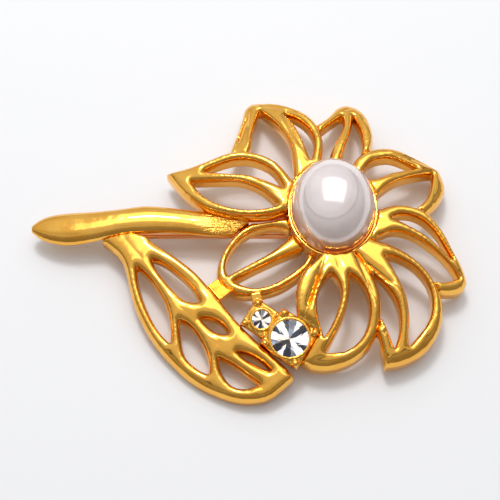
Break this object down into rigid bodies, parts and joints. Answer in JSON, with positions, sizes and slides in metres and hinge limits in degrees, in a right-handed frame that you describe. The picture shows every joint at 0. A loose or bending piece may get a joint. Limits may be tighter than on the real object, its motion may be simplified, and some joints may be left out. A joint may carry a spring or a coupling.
{
  "type": "brooch",
  "caption": "Openwork flower brooch in polished gold plate with an oval pearl, a stem and leaf, round clear stones, and a hinged pin with a turning safety catch.",
  "frame": {"origin": "bottom centre of the bounding box, with the brooch lying face up on its catch and its leaf", "axes": "+X along the closed pin from the stem to the flower, +Y across the face to the upper petals, +Z out of the face"},
  "size_m": [0.0692, 0.0524, 0.0139],
  "materials": {
    "polished_gold": "polished gold plating",
    "copper_gold": "drawn wire with copper-toned plating",
    "pearl_coat": "pearl lacquer",
    "clear_glass": "faceted, foiled behind",
    "clear_glue": "set clear glue"
  },
  "bodies": {
    "root": {"petal_left": "polished_gold", "petal_upper_left": "polished_gold", "petal_top": "polished_gold", "petal_upper_right": "polished_gold", "petal_right": "polished_gold", "petal_lower_right": "polished_gold", "petal_bottom": "polished_gold", "petal_lower_left": "polished_gold", "pearl_seat": "polished_gold", "pearl_cement": "clear_glue", "pearl": "pearl_coat", "stem": "polished_gold", "leaf": "polished_gold", "leaf_link": "polished_gold", "small_stone_setting": "polished_gold", "small_stone_cement": "clear_glue", "small_rhinestone": "clear_glass", "large_stone_setting": "polished_gold", "large_stone_cement": "clear_glue", "large_rhinestone": "clear_glass", "hinge_base": "polished_gold", "hinge_rivet": "polished_gold", "catch_housing": "polished_gold"},
    "pin": {"pin_stem": "copper_gold"},
    "barrel": {"catch_barrel": "polished_gold"}
  },
  "joints": [
    {"name": "pin_hinge", "type": "hinge", "parent": "root", "child": "pin", "pos_m": [-0.02093, 0.00197, 0.0016], "axis": [0, 1, 0], "range_deg": [0, 75]},
    {"name": "catch_turn", "type": "hinge", "parent": "root", "child": "barrel", "pos_m": [0.01487, 0.00197, 0.0016], "axis": [-1, 0, 0], "range_deg": [0, 100]}
  ]
}
